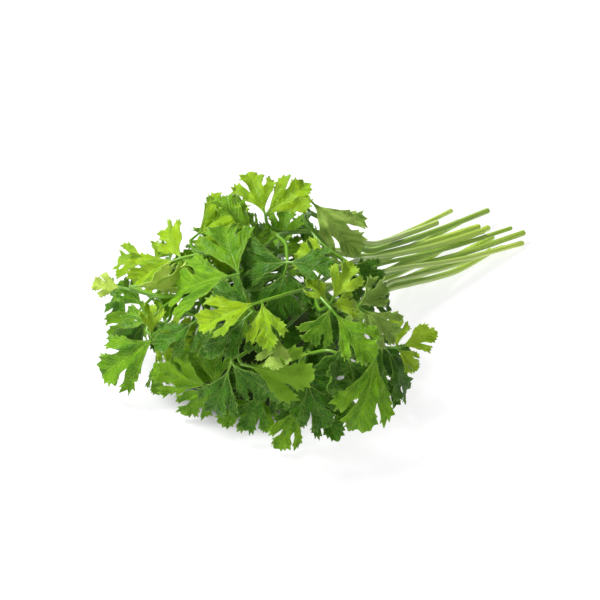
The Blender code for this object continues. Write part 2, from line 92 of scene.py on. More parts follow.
# How the stems settle: the gap left between two, the extra gap where they run steeply, how far past
# its ends a stem still pushes, the height of a resting stem's centre as a share of its radius, the
# steps, and how hard each one pushes and evens
STEM_GAP = 0.8
STEEP_GAP = 0.4
PAST_ENDS = 2.0
REST = 0.8
SETTLING = 200
EVENING_UNTIL = 140
PUSH = 0.3
EVENING = 0.1

# Stalks: the rings along one, how far it starts inside the stem and ends past its joint, and its bends
# as shares of its reach
STALK_RINGS = 4
ROOT = 0.8
TIP = 0.5
BEND_OUT = 0.38
BEND_IN = 0.3

# Leaflets: how far off their joint they start, half the width of a base, the middle leaflet's foot as a
# share of its length, a side leaflet's size beside the middle one's, and the width beside the length
HUB = 1.3
BASE_HALF_WIDTH = 0.6
FOOT = 0.13
LATERAL_SCALE = 0.86
WIDTH_RATIO = 0.94

# The points of the solid leaflet's half outline, and how much they differ as a share: the finer
# outline below is changed by the same draws
SOLID_HALF_POINTS = 6
OUTLINE_DIFFERENCE = 0.07

# Differences between leaflets, in degrees or as shares, and how fast they grow with each attempt
YAW = 5.0
PITCH = (-8.0, 14.0)
ROLL = 16.0
LATERAL_ROLL = 0.25
FOLD = (0.22, 0.22)
CUP = (-0.1, 0.1)
DROOP = (0.55, 0.45)
TWIST = 0.35
WAVE = 0.05
LENGTH_DIFFERENCE = 0.08
LOOSER = 0.035
SHORTER = 0.004
SHORTEST = 0.62
WIDER = 0.002
LOWER = 0.1

# How a blade bends: how softly it folds at its middle rib, how many radians its waves run along it,
# and how far the waves of its two sides are shifted
SOFT_FOLD = 0.1
WAVES = 5.0
SIDE_SHIFT = 1.2

# The middle of the mound and its half sizes, which give the way that a leaf's upper side faces
HEART = np.array([-82.0, 8.0, 8.0])
MOUND = np.array([90.0, 88.0, 84.0])

SEED = 7


class Spray(NamedTuple):
    """Leaflets on one stalk. Azimuth runs from +X towards +Y, pitch is above the horizon."""

    joint: tuple
    azimuth: float
    pitch: float
    size: float
    roll: float = 0.0
    spread: tuple = (0.0, -73.0, 73.0)


class Sprig(NamedTuple):
    """A leafy stem: its cut end, its place in the neck (Y, Z), and where its stalks part."""

    name: str
    tint: str
    cut: tuple
    neck: tuple
    crown: tuple
    sprays: tuple


SPRIGS = (
    Sprig("sprig_top", "bright", (100, 24, 16), (2, 48), (-58, 6, 83), (
        Spray((-69, 11, 97), 14, 54, 34, 38, (-40, 40)),
        Spray((-86, 2, 90), 89, 52, 27, 14, (0, -62)),
        Spray((-90, -29, 94), -154, -27, 36, 4),
    )),
    Sprig("sprig_arch", "deep", (147, 16, 10), (8, 43), (-32, 14, 82), (
        Spray((-34, 15, 93), -78, -39, 44, 75, (0,)),
        Spray((-52, -34, 80), -56, -16, 20, 38, (0,)),
        Spray((-43, -30, 70), -50, -26, 24, 38, (0, -70)),
        Spray((-48, 31, 47), 30, 14, 27, 1),
        Spray((-40, 2, 57), 26, 41, 26, 30),
    )),
    Sprig("sprig_crest", "bright", (121, 4, 13), (10, 37), (-88, 16, 78), (
        Spray((-103, 35, 84), -10, 39, 36, 47, (0, -62)),
        Spray((-110, -14, 89), 129, -12, 46, -15),
        Spray((-106, 40, 72), 144, -19, 30, -48),
    )),
    Sprig("sprig_left", "bright", (134, 38, 6), (15, 39), (-94, 42, 60), (
        Spray((-110, 60, 62), 127, 12, 24, -54, (0, -98)),
        Spray((-92, 71, 44), 120, -32, 28, -55),
        Spray((-122, 58, 38), 157, -35, 26, -54),
        Spray((-65, 50, 54), 73, 14, 30, 15),
    )),
    Sprig("sprig_far_left", "pale", (128, 25, 4), (7, 31), (-118, 28, 58), (
        Spray((-136, 52, 60), 131, 7, 18, -34, (0,)),
        Spray((-135, 50, 62), -73, -5, 36, 76, (0,)),
        Spray((-145, 19, 50), -35, 12, 20, 39, (0, -62, 66)),
        Spray((-131, 26, 47), 137, 19, 24, -21),
    )),
    Sprig("sprig_front_left", "deep", (137, 7, 4), (1, 25), (-112, -12, 46), (
        Spray((-126, -24, 46), -171, -49, 31, -3, (0, 60)),
        Spray((-107, -25, 12), 173, 1, 26, 34),
        Spray((-128, -2, 64), 157, -22, 24, -18, (0, 70)),
    )),
    Sprig("sprig_front", "bright", (141, -9, 9), (-2, 35), (-100, -34, 58), (
        Spray((-133, -40, 58), -55, -7, 33, 176, (0,)),
        Spray((-115, -48, 76), -152, -57, 22, 176, (0,)),
        Spray((-118, -33, 79), 172, -20, 28, -3),
    )),
    Sprig("sprig_front_right", "deep", (145, -17, 7), (-7, 30), (-92, -46, 48), (
        Spray((-111, -62, 52), -89, -49, 30, 6),
        Spray((-103, -53, 24), -168, -36, 25, 21, (0,)),
        Spray((-91, -69, 58), -72, -41, 25, 6),
        Spray((-100, -47, 38), -93, 22, 30, -4),
    )),
    Sprig("sprig_shoulder", "bright", (112, -7, 15), (-5, 41), (-66, -30, 72), (
        Spray((-95, -65, 86), -87, -34, 27, 29, (0, -74)),
        Spray((-91, -60, 84), 9, 44, 20, -4, (0, -66, 66)),
        Spray((-117, -39, 88), 156, -10, 30, -7, (0, 73)),
        Spray((-55, -38, 52), -131, 32, 30, 6),
    )),
    Sprig("sprig_right", "bright", (139, -21, 3), (-11, 35), (-60, -46, 50), (
        Spray((-75, -79, 60), -154, -45, 40, 26, (0,)),
        Spray((-61, -52, 64), -61, -31, 27, 25),
        Spray((-65, -38, 80), 109, 33, 24, -39, (0,)),
        Spray((-67, -20, 28), -140, -25, 28, 9),
    )),
    Sprig("sprig_low_right", "deep", (125, -15, 3), (-14, 28), (-38, -38, 38), (
        Spray((-54, -65, 42), -78, -39, 33, 31, (0, -66)),
        Spray((-47, -69, 38), -29, 20, 21, -24, (0, -64, 64)),
        Spray((-36, -30, 52), -44, -18, 24, 44),
        Spray((-49, 1, 33), -60, 42, 28, -4),
    )),
    Sprig("sprig_nape", "deep", (111, 27, 4), (13, 27), (-30, 30, 46), (
        Spray((-36, 54, 50), 82, -30, 32),
        Spray((-22, 48, 30), 50, -24, 30),
        Spray((-60, 11, 70), 35, 34, 26, 18),
    )),
    Sprig("sprig_back", "bright", (119, 13, 4), (9, 21), (-64, 50, 46), (
        Spray((-62, 78, 44), 84, -42, 34),
        Spray((-52, 72, 24), 62, -20, 32),
        Spray((-86, 49, 56), 114, -4, 26, -38),
    )),
    Sprig("sprig_back_left", "deep", (104, 15, -4), (4, 19), (-102, 52, 30), (
        Spray((-132, 38, 46), 176, -36, 28, -50, (0, 70)),
        Spray((-120, 75, 40), -177, -46, 20, -69, (0, -66)),
        Spray((-81, 30, 72), 41, 25, 28, 20),
        Spray((-95, 38, 28), 103, 5, 30, -27),
    )),
    Sprig("sprig_low_left", "deep", (112, 1, -3), (-2, 15), (-122, 22, 22), (
        Spray((-138, 27, 40), -142, -51, 46, -45, (-52, 56)),
        Spray((-133, 33, 22), -140, -25, 20, -51, (0,)),
        Spray((-106, 20, 62), 60, 4, 36),
        Spray((-127, -10, 23), 163, 23, 30, -7),
    )),
    Sprig("sprig_low_front", "deep", (129, -3, 4), (-7, 19), (-88, -28, 20), (
        Spray((-95, -47, 20), -89, -20, 26, -15),
        Spray((-79, -54, 22), -102, -28, 24, 18),
        Spray((-113, -36, 30), -157, -27, 24, 4),
    )),
    Sprig("sprig_low_side", "deep", (117, -13, -4), (-12, 21), (-46, -26, 20), (
        Spray((-54, -56, 20), -90, -27, 26, 29),
        Spray((-41, -46, 24), -49, -15, 24, 15),
        Spray((-66, -4, 64), 150, 6, 36),
    )),
)

# The draw at which each leaflet found a clear place in the part's source, by sprig and spray
LEAFLET_DRAWS = (
    ((0, 0), (0, 7), (25, 3, 44)),
    ((5,), (0,), (0, 0), (25, 0, 13), (0, 14, 65)),
    ((1, 4), (0, 10, 3), (0, 0, 11)),
    ((0, 0), (0, 0, 0), (0, 18, 0), (4, 10, 14)),
    ((0,), (28,), (0, 0, 0), (0, 52, 88)),
    ((0, 1), (0, 0, 41), (0, 0)),
    ((0,), (0,), (1, 1, 5)),
    ((0, 1, 16), (0,), (0, 13, 1), (0, 1, 1)),
    ((1, 0), (0, 0, 0), (1, 7), (3, 15, 74)),
    ((0,), (0, 60, 1), (0,), (6, 0, 19)),
    ((0, 1), (0, 0, 2), (2, 44, 0), (42, 1, 0)),
    ((0, 2, 0), (1, 0, 2), (0, 7, 48)),
    ((0, 1, 0), (3, 2, 0), (1, 0, 0)),
    ((0, 1), (0, 0), (0, 2, 0), (2, 1, 0)),
    ((0, 2), (0,), (107, 1, 41), (0, 2, 0)),
    ((0, 0, 4), (0, 32, 26), (2, 0, 0)),
    ((20, 0, 0), (0, 8, 0), (2, 8, 3)),
)


class Leaflet(NamedTuple):
    """One leaflet in its place. The frame's columns are its side, its heading and its upper face."""

    origin: np.ndarray
    frame: np.ndarray
    length: float
    width: float
    fold: float
    cup: float
    droop: float
    twist: float
    wave: float
    phase: float
    outline_seed: tuple


def unit(vector):
    return vector / np.linalg.norm(vector)


def heading(azimuth, pitch):
    a, p = np.radians(azimuth), np.radians(pitch)
    return np.array([np.cos(a) * np.cos(p), np.sin(a) * np.cos(p), np.sin(p)])


def rotation(axis, degrees):
    """The matrix of a turn about local axis 0, 1 or 2."""
    c, s = np.cos(np.radians(degrees)), np.sin(np.radians(degrees))
    j, k = (axis + 1) % 3, (axis + 2) % 3
    matrix = np.eye(3)
    matrix[j, j], matrix[k, k] = c, c
    matrix[k, j], matrix[j, k] = s, -s
    return matrix


def spray_frame(spray):
    """Side, heading and upper face of a spray: the upper face turns away from the mound's heart."""
    forward = heading(spray.azimuth, spray.pitch)
    outward = (np.array(spray.joint) - HEART) / MOUND**2
    normal = unit(outward - (outward @ forward) * forward)
    frame = np.column_stack([np.cross(forward, normal), forward, normal])
    return frame @ rotation(1, spray.roll)


def smooth_curve(points, count):
    """Points spaced evenly in parameter on a Catmull-Rom curve through the given ones."""
    points = np.asarray(points, float)
    padded = np.vstack([2 * points[0] - points[1], points, 2 * points[-1] - points[-2]])
    found = []
    for t in np.linspace(0, len(points) - 1, count):
        i = min(int(t), len(points) - 2)
        u = t - i
        a, b, c, d = padded[i : i + 4]
        found.append(
            0.5 * (2 * b + (c - a) * u + (2 * a - 5 * b + 4 * c - d) * u**2 + (3 * b - a - 3 * c + d) * u**3)
        )
    return np.array(found)


def stem_radius(x, crown_x, cut_x):
    """A stem thins from its cut end to the neck, and again to its crown."""
    return np.interp(x, [crown_x, NECK_X, cut_x], [CROWN_RADIUS, NECK_RADIUS, CUT_RADIUS])


def stem_rings(sprig):
    """Ring centres of a main stem from its crown to its cut end, with one ring in the neck."""
    (cx, cy, cz), (ny, nz), (ex, ey, ez) = sprig.crown, sprig.neck, sprig.cut
    arch = ((cx + NECK_X) / 2, (cy + ny) / 2, (cz + nz) / 2 + ARCH * (NECK_X - cx))
    half_way = ((ex + NECK_X) / 2, (ey + ny) / 2, ez + SAG * (nz - ez))
    path = smooth_curve([(cx, cy, cz), arch, (NECK_X, ny, nz), half_way, (ex, ey, ez)], WAY_POINTS)
    first = np.ceil((cx - NECK_X) / RING_STEP + END_ROOM)
    stations = NECK_X + RING_STEP * np.arange(first, (ex - NECK_X) / RING_STEP - END_ROOM)
    xs = np.concatenate([[cx], stations, [ex]])
    ys, zs = (np.interp(xs, path[:, 0], path[:, k]) for k in (1, 2))
    return np.column_stack([xs, ys, zs])


def settle_stems():
    """Main stems as ring centres, pushed apart in each cross-section until none touch."""
    starts = [stem_rings(sprig) for sprig in SPRIGS]
    draw = np.random.default_rng(SEED)
    radii = [stem_radius(c[:, 0], c[0, 0], c[-1, 0]) * draw.uniform(*THICKNESS) for c in starts]
    for start, radius in zip(starts, radii):
        start[:, 2] = np.maximum(start[:, 2], REST * radius)
    curves = [c.copy() for c in starts]
    for step in range(SETTLING):
        for i in range(len(curves)):
            for j in range(i + 1, len(curves)):
                push_first = push_off(curves[i], radii[i], curves[j], radii[j])
                push_second = push_off(curves[j], radii[j], curves[i], radii[i])
                curves[i][:, 1:] += push_first
                curves[j][:, 1:] += push_second
        for start, curve, radius in zip(starts, curves, radii):
            shift = curve - start
            if step < EVENING_UNTIL:
                curve[1:-1] += EVENING * (shift[:-2] - 2 * shift[1:-1] + shift[2:])
            curve[:, 2] = np.maximum(curve[:, 2], REST * radius)
    return curves, radii


def push_off(curve, radii, other, other_radii):
    """The Y and Z steps that move a stem's rings away from another stem beside them."""
    xs = curve[:, 0]
    beside = (xs > other[0, 0] - PAST_ENDS) & (xs < other[-1, 0] + PAST_ENDS)
    away = curve[:, 1:] - np.column_stack([np.interp(xs, other[:, 0], other[:, k]) for k in (1, 2)])
    distance = np.maximum(np.linalg.norm(away, axis=1), 1e-6)
    slope = 1.0 + STEEP_GAP * (steepness(curve) ** 2 + np.interp(xs, other[:, 0], steepness(other)) ** 2)
    wanted = (radii + np.interp(xs, other[:, 0], other_radii) + STEM_GAP) * slope
    step = np.where(beside & (distance < wanted), PUSH * (wanted - distance), 0.0)
    return (step / distance)[:, None] * away


def steepness(curve):
    """How far a stem runs across its cross-sections, from 0 for a stem along X."""
    run = np.gradient(curve, axis=0)
    return np.linalg.norm(run[:, 1:], axis=1) / np.maximum(np.abs(run[:, 0]), 1e-6)


def stalk_path(curve, spray):
    """From the crown, along the stem's own way at first, to the spray's joint along its heading."""
    crown, onward = curve[0], unit(curve[0] - curve[1])
    joint, forward = np.array(spray.joint, float), heading(spray.azimuth, spray.pitch)
    reach = np.linalg.norm(joint - crown)
    p1 = crown + onward * BEND_OUT * reach
    p2 = joint - forward * BEND_IN * reach
    t = np.linspace(0, 1, STALK_RINGS)[:, None]
    path = (1 - t) ** 3 * crown + 3 * (1 - t) ** 2 * t * p1 + 3 * (1 - t) * t**2 * p2 + t**3 * joint
    path[0] -= ROOT * unit(p1 - crown)
    path[-1] += TIP * forward
    return path


def flat_mesh(rim, inner, ribs):
    """Points and triangles that fill a flat outline, with inner points joined by ribs."""
    count = len(rim)
    points = [Vector(p) for p in np.vstack([rim, inner])]
    edges = [(i, (i + 1) % count) for i in range(count)] + ribs
    made = delaunay_2d_cdt(points, edges, [], 1, 1e-7)
    flat = np.array([tuple(p) for p in made[0]])
    triangles = []
    for a, b, c in made[2]:
        (ax, ay), (bx, by) = flat[b] - flat[a], flat[c] - flat[a]
        triangles.append((a, b, c) if ax * by - ay * bx > 0 else (a, c, b))
    return flat, np.array(triangles)


def bent(flat, leaflet, relief):
    """Flat points of a leaflet with their relief, folded, waved, twisted, drooped and put in place."""
    x, y = flat[:, 0], flat[:, 1]
    along, across = y / leaflet.length, x / leaflet.width
    soft = np.sqrt(across**2 + SOFT_FOLD**2) - SOFT_FOLD
    z = leaflet.width * (leaflet.fold * soft + leaflet.cup * across**2)
    z += leaflet.wave * np.sin(WAVES * along + leaflet.phase + SIDE_SHIFT * np.sign(x)) * across**2
    z += relief
    turn = leaflet.twist * np.clip(along, 0, None)
    x, z = x * np.cos(turn) - z * np.sin(turn), x * np.sin(turn) + z * np.cos(turn)
    angle = leaflet.droop * np.clip(along, 0, None)
    radius = leaflet.length / leaflet.droop
    forward = np.where(y > 0, radius * np.sin(angle), y) + z * np.sin(angle)
    upward = z * np.cos(angle) - np.where(y > 0, radius * (1 - np.cos(angle)), 0.0)
    return leaflet.origin + np.column_stack([x, forward, upward]) @ leaflet.frame.T


def drawn_leaflet(spray, key, angle, attempt, draw):
    """A leaflet of a spray with its seeded differences, which grow with each attempt."""
    loose = 1.0 + LOOSER * attempt
    r = draw.uniform(-1, 1, 9)
    length = spray.size * (1 + LENGTH_DIFFERENCE * r[0]) * max(SHORTEST, 1 - SHORTER * attempt)
    length *= LATERAL_SCALE if angle else 1.0
    yaw = angle * (1 + WIDER * attempt) + YAW * loose * r[1]
    pitch = PITCH[0] + PITCH[1] * loose * r[2] + LOWER * attempt
    roll = ROLL * loose * r[3] + LATERAL_ROLL * angle
    frame = spray_frame(spray) @ rotation(2, yaw) @ rotation(0, pitch) @ rotation(1, roll)
    foot = 0.0 if angle else FOOT * length
    return Leaflet(
        origin=np.array(spray.joint, float) + (HUB + foot) * frame[:, 1],
        frame=frame,
        length=length,
        width=length * WIDTH_RATIO / 2,
        fold=FOLD[0] + FOLD[1] * r[4],
        cup=CUP[0] + CUP[1] * r[5],
        droop=DROOP[0] + DROOP[1] * r[6],
        twist=TWIST * r[7],
        wave=WAVE * length,
        phase=np.pi * r[8],
        outline_seed=key,
    )


# Half of a leaflet's toothed outline, as x, y and the place along the solid's coarser half outline
TOOTHED_HALF = (
    (0.055, 0.090, 0.25), (0.125, 0.185, 0.50), (0.195, 0.270, 0.75), (0.262, 0.335, 0.95),
    (0.335, 0.400, 1.20), (0.318, 0.425, 1.30), (0.405, 0.475, 1.50), (0.385, 0.505, 1.65),
    (0.482, 0.575, 2.00), (0.428, 0.602, 2.20), (0.466, 0.705, 2.60), (0.398, 0.672, 2.75),
    (0.375, 0.780, 3.00), (0.330, 0.712, 3.20), (0.302, 0.745, 3.30), (0.280, 0.675, 3.45),
    (0.226, 0.590, 3.70), (0.175, 0.525, 3.90), (0.145, 0.485, 4.00), (0.142, 0.550, 4.20),
    (0.160, 0.620, 4.50), (0.222, 0.690, 4.75), (0.205, 0.712, 4.85), (0.276, 0.778, 5.10),
    (0.212, 0.792, 5.40), (0.240, 0.882, 5.85), (0.165, 0.866, 6.10), (0.158, 0.952, 6.40),
    (0.090, 0.922, 6.65), (0.046, 0.975, 6.85),
)

# Ribs of one half: where they leave, as a share of the middle rib or of the side lobe's rib, the
# tooth that they run to, and their half width in millimetres. Then the share of that way that main
# and other ribs run, how fast a rib thins, and its thinnest part as a share
LOBE_TOOTH = 10
LOBE_RIB = (0.03, 0.26)
SIDE_RIBS = ((0.28, 4, 0.12), (0.40, 6, 0.14), (0.52, 8, 0.17), (0.56, 12, 0.16), (0.44, 14, 0.12))
UPPER_RIBS = ((0.36, 21, 0.13), (0.46, 23, 0.17), (0.60, 25, 0.15), (0.74, 27, 0.12))
MIDDLE_RIB = 0.30
MAIN_RIB_REACH = 0.97
RIB_REACH = 0.94
RIB_THINNING = 0.65
THINNEST_RIB = 0.2

# The finer blade: its thickness and its inner points' spacing in millimetres, how much teeth differ as
# a share of the length, and, as shares of the spacing, the rows' spacing and the room at rim and ribs
THIN = 0.35
GRID = 1.6
TOOTH_DIFFERENCE = 0.009
ROW_STEP = 0.87
RIM_ROOM = 0.6
RIB_ROOM = 0.55

# For the materials: the millimetres in one unit of the distance to the rim, and how far a leaflet's
# pattern may be shifted
EDGE_UNIT = 10
FLAT_SHIFT = 50

# The blade's relief, as heights and reaches in millimetres: the swelling between all ribs, and the
# larger one between the main ribs
PUCKER = 1.1
PUCKER_REACH = 1.9
PLEAT = 2.2
PLEAT_REACH = 5.0

# The curls of the two sides and the tip: the height, the range of the draws, and for sides and tip
# where a curl starts as a share of the half width or the length, and what its square is divided by
CURL = 3.0
CURL_RANGE = (-1.0, 0.6)
SIDE_CURL = (0.35, 0.42)
TIP_CURL = (0.6, 0.16)

# The rim's ripples: height, reach and length, how much longer and lower a second ripple is, and the
# share of the leaflet's length over which they fade in
RUFFLE = 0.8
RUFFLE_REACH = 3.5
RUFFLE_STEP = 11.0
SECOND_LONGER = 1.7
SECOND_LOWER = 0.5
RUFFLE_START = 0.3

# Leaflets whose relief would cut into a neighbour, by sprig, spray and leaflet number: the share of
# the relief that is kept, and how far the tip is bent up (or down) off the neighbour, in millimetres
CALMER = {
    (0, 1, 1): (1.0, 2.4), (1, 2, 0): (1.0, 1.2), (1, 2, 1): (1.0, 1.2),
    (2, 0, 1): (0.8, 3.6), (2, 1, 2): (1.0, -1.2), (2, 2, 2): (0.2, -1.2),
    (3, 1, 1): (1.0, 2.4), (3, 3, 0): (1.0, 1.2), (3, 3, 2): (0.8, -5.0),
    (4, 1, 0): (1.0, 1.2), (7, 2, 2): (1.0, 1.2), (8, 3, 1): (0.6, -1.2),
    (9, 3, 0): (1.0, -2.4), (10, 0, 1): (1.0, 1.2), (10, 3, 1): (1.0, -2.4),
    (10, 3, 2): (1.0, -5.0), (11, 1, 2): (0.8, -2.4), (11, 2, 0): (0.8, 0.0),
    (14, 2, 0): (1.0, -2.4), (14, 2, 2): (0.8, -1.2), (14, 3, 1): (1.0, 1.2),
}

# The finer stems: the rings' spacing in millimetres, the rings and sides of each kind of tube, and the
# grooves: how many, their depth as a share of the radius, and how far the shade turns them. Then how
# near to upright a tube may start before its first side is taken along X
FINE_STEM_STEP = 3.0
FINE_STEM_SIDES = 16
FINE_STALK_RINGS = 14
FINE_STALK_SIDES = 10
LEAFLET_STALK_RINGS = 6
LEAFLET_STALK_SIDES = 8
GROOVES = 5
GROOVE_DEPTH = 0.05
GROOVE_TURN = 6
UPRIGHT = 0.05

# A leaflet's own short stalk: its radii in millimetres, and the share of the leaflet that it runs into
LEAFLET_STALK = (0.75, 0.4)
LEAFLET_STALK_REACH = 0.08

# The shares of a whole stem, from crown to cut end, whose colours each kind of tube runs through
STEM_SHARE = (0.15, 1.0)
STALK_SHARE = (0.0, 0.1)
LEAFLET_STALK_SHARE = (0.0, 0.05)

# The stems' material slot, which the leaf tones follow, the number that starts the draws of a piece's
# stems, and the angle in radians from which an edge is sharp
STEM_SLOT = 0
STEM_DRAWS = 99
SHARP_ANGLE = 0.9


def laid_leaflet(i, j, k):
    """The leaflet that the part's source settled on: its draws are made again, up to the same one."""
    spray, draw = SPRIGS[i].sprays[j], np.random.default_rng((SEED, i, j, k))
    for attempt in range(LEAFLET_DRAWS[i][j][k] + 1):
        leaflet = drawn_leaflet(spray, (SEED, i, j, k), spray.spread[k], attempt, draw)
    return leaflet


class Shape:
    """Points and faces of one piece, gathered from many, with what the materials read at each corner.

    On a blade, rib is the distance across and along the nearest rib, flat the place on the leaflet,
    and marks the rib's half width, distance to the rim, shade and underside. On a tube, rib and flat
    are the way round and along it, and marks its cut face, shade and share of the stem.
    """

    def __init__(self):
        self.points, self.faces, self.materials = [], [], []
        self.rib, self.flat, self.marks = [], [], []
        self.count = 0

    def add(self, material, points, faces, rib, flat, marks):
        self.points.append(points)
        self.faces += [tuple(int(p) + self.count for p in face) for face in faces]
        self.materials += [material] * len(faces)
        self.rib.append(rib)
        self.flat.append(flat)
        self.marks.append(marks)
        self.count += len(points)

    def made(self, name, materials):
        """The gathered shape as one object."""
        mesh = bpy.data.meshes.new(name)
        points = (np.vstack(self.points) - MIDDLE) * MM
        mesh.from_pydata(points.tolist(), [], self.faces)
        for material in materials:
            mesh.materials.append(material)
        mesh.polygons.foreach_set("material_index", self.materials)
        for layer, values in (("rib", self.rib), ("flat", self.flat)):
            mesh.uv_layers.new(name=layer).data.foreach_set("uv", np.vstack(values).ravel())
        colours = mesh.color_attributes.new("marks", "FLOAT_COLOR", "CORNER")
        colours.data.foreach_set("color", np.vstack(self.marks).ravel())
        mesh.shade_smooth()
        mesh.set_sharp_from_angle(angle=SHARP_ANGLE)
        piece = bpy.data.objects.new(name, mesh)
        bpy.context.scene.collection.objects.link(piece)
        return piece


def toothed_outline(leaflet):
    """The fine outline in millimetres, from the base's right end, and each half's tooth tips."""
    draw = np.random.default_rng(leaflet.outline_seed)
    teeth = np.random.default_rng((*leaflet.outline_seed, 1))
    table, places = np.array(TOOTHED_HALF), np.arange(SOLID_HALF_POINTS + 2)
    rims, tips = [], []
    for side in (1, -1):
        change = OUTLINE_DIFFERENCE * draw.uniform(-1, 1, (SOLID_HALF_POINTS, 2))
        known = np.vstack([[0, 0], change, [0, 0]])
        warp = np.column_stack([np.interp(table[:, 2], places, known[:, k]) for k in (0, 1)])
        half = table[:, :2] * (1 + warp) * (2 * leaflet.width, leaflet.length)
        half = half + TOOTH_DIFFERENCE * leaflet.length * teeth.uniform(-1, 1, half.shape)
        tips.append(half * (side, 1))
        points = np.vstack([[BASE_HALF_WIDTH, 0], half, [0, leaflet.length]])
        rims.append(smooth_curve(points, 2 * len(points) - 1) * (side, 1))
    return np.vstack([rims[0], rims[1][-2::-1]]), tips


def rib_lines(leaflet, tips):
    """All ribs as start, end and half width at the start, in the flat leaflet's millimetres."""
    ribs = [((0.0, 0.0), (0.0, MAIN_RIB_REACH * leaflet.length), MIDDLE_RIB)]
    for tip in tips:
        start = np.array([0.0, LOBE_RIB[0] * leaflet.length])
        end = start + MAIN_RIB_REACH * (tip[LOBE_TOOTH] - start)
        ribs.append((start, end, LOBE_RIB[1]))
        for share, tooth, width in SIDE_RIBS:
            fork = start + share * (end - start)
            ribs.append((fork, fork + RIB_REACH * (tip[tooth] - fork), width))
        for share, tooth, width in UPPER_RIBS:
            fork = np.array([0.0, share * leaflet.length])
            ribs.append((fork, fork + RIB_REACH * (tip[tooth] - fork), width))
    return [(np.array(a, float), np.array(b, float), w) for a, b, w in ribs]


def inside(points, rim):
    """True for the points inside a closed outline."""
    x, y = points[:, :1], points[:, 1:]
    x1, y1 = rim[:, 0], rim[:, 1]
    x2, y2 = np.roll(x1, -1), np.roll(y1, -1)
    crossing = (y1 > y) != (y2 > y)
    with np.errstate(divide="ignore", invalid="ignore"):
        at = x1 + (y - y1) * (x2 - x1) / (y2 - y1)
    return (crossing & (x < at)).sum(axis=1) % 2 == 1


def rib_distances(points, ribs):
    """Signed distance across, distance along and half width of each rib, for each point."""
    across, along, widths = [], [], []
    for start, end, width in ribs:
        run = end - start
        length = np.linalg.norm(run)
        run = run / length
        away = points - start
        v = away @ run
        u = away @ np.array([run[1], -run[0]])
        beyond = np.maximum(np.maximum(-v, v - length), 0.0)
        across.append(np.where(beyond > 0, np.copysign(np.hypot(u, beyond), u), u))
        along.append(v)
        widths.append(width * np.clip(1 - RIB_THINNING * v / length, THINNEST_RIB, 1.0))
    return np.array(across), np.array(along), np.array(widths)


def blade_mesh(rim, main_ribs):
    """Points and triangles that fill a toothed outline evenly, with points along the main ribs."""
    low, high = rim.min(axis=0), rim.max(axis=0)
    xs = np.arange(low[0], high[0], GRID)
    ys = np.arange(low[1], high[1], GRID * ROW_STEP)
    grid = np.array([(x + (n % 2) * GRID / 2, y) for n, y in enumerate(ys) for x in xs])
    grid = grid[inside(grid, rim)]
    gap = np.linalg.norm(grid[:, None] - rim[None], axis=2).min(axis=1)
    grid = grid[gap > RIM_ROOM * GRID]
    across, _, _ = rib_distances(grid, main_ribs)
    grid = grid[np.abs(across).min(axis=0) > RIB_ROOM * GRID]
    inner, edges = [grid], []
    count = len(rim) + len(grid)
    for start, end, _ in main_ribs:
        steps = max(2, int(np.linalg.norm(end - start) / GRID))
        line = (start + np.linspace(0, 1, steps)[:, None] * (end - start))[1:-1]
        inner.append(line)
        edges += [(count + n, count + n + 1) for n in range(len(line) - 1)]
        count += len(line)
    return flat_mesh(rim, np.vstack(inner), edges)


def curl(share, start, measure):
    """A curl's height as a share, from nothing at its start on."""
    return np.clip(share - start, 0, 1) ** 2 / measure


def blade_relief(leaflet, flat, near, from_main, edge, rim_place, phases, curls):
    """How far each point of the flat blade rises: swellings, ripples, curls, and the bent tip."""
    relief = PUCKER * (1 - np.exp(-((near / PUCKER_REACH) ** 2)))
    wave = np.sin(2 * np.pi * rim_place / RUFFLE_STEP + phases[0])
    wave += SECOND_LOWER * np.sin(2 * np.pi * rim_place / (SECOND_LONGER * RUFFLE_STEP) + phases[1])
    fade_in = np.clip(flat[:, 1] / (RUFFLE_START * leaflet.length), 0, 1)
    relief += RUFFLE * fade_in * wave * np.exp(-edge / RUFFLE_REACH)
    relief += PLEAT * (1 - np.exp(-((from_main / PLEAT_REACH) ** 2)))
    sideward = curl(np.abs(flat[:, 0]) / leaflet.width, *SIDE_CURL)
    relief += np.where(flat[:, 0] > 0, curls[0], curls[1]) * sideward
    relief += curls[2] * curl(flat[:, 1] / leaflet.length, *TIP_CURL)
    kept, lift = CALMER.get(leaflet.outline_seed[1:], (1.0, 0.0))
    return kept * relief + lift * np.clip(flat[:, 1] / leaflet.length, 0, 1) ** 2


def thin_blade(middle, triangles):
    """A closed blade about a sheet: its points and faces, and how many of the last are side walls."""
    corners = middle[triangles]
    facing = np.cross(corners[:, 1] - corners[:, 0], corners[:, 2] - corners[:, 0])
    normals = np.zeros_like(middle)
    for k in range(3):
        np.add.at(normals, triangles[:, k], facing)
    normals /= np.maximum(np.linalg.norm(normals, axis=1, keepdims=True), 1e-9)
    points = np.vstack([middle + normals * THIN / 2, middle - normals * THIN / 2])
    count = len(middle)
    sides = {(a, b) for t in triangles.tolist() for a, b in zip(t, t[1:] + t[:1])}
    open_sides = [(a, b) for a, b in sorted(sides) if (b, a) not in sides]
    walls = [(b, a, a + count) for a, b in open_sides]
    walls += [(b, a + count, b + count) for a, b in open_sides]
    return points, np.vstack([triangles, triangles[:, ::-1] + count, walls]), len(walls)


